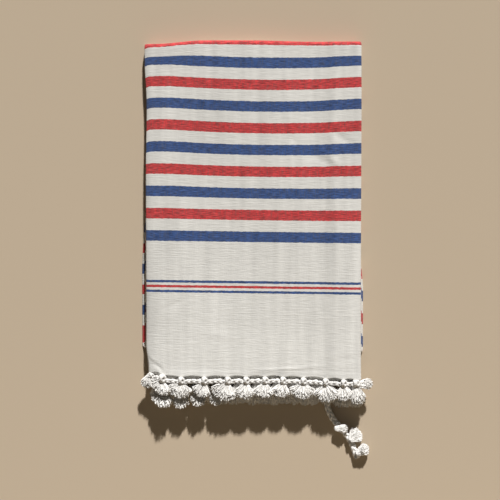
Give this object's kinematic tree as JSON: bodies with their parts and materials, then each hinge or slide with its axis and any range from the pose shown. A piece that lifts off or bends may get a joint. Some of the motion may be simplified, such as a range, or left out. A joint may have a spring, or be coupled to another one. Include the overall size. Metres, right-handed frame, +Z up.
{
  "type": "beach towel",
  "caption": "Flat-woven cotton beach towel with red and blue weft stripes and a tassel trim on each end, folded into a flat rectangle, with a loose end of plaited trim.",
  "frame": {"origin": "on the ground, under the middle of the folded towel with its two trims, the loose end left out", "axes": "+Z up from the ground, +Y along the folded towel's length towards its long fold, +X to the right as the hems lie towards the viewer"},
  "size_m": [0.3558, 0.6326, 0.0229],
  "materials": {
    "towel_cloth": "matt flat-woven cotton, white warp with weft stripes in brick red and denim blue",
    "trim_yarn": "matt white cotton yarn, plaited, knotted and cut into tassels"
  },
  "bodies": {
    "root": {"towel_cloth": "towel_cloth", "upper_trim": "trim_yarn", "lower_trim": "trim_yarn", "loose_cord": "trim_yarn", "loose_tassel_first": "trim_yarn", "loose_tassel_second": "trim_yarn", "loose_tassel_last": "trim_yarn"}
  },
  "joints": []
}
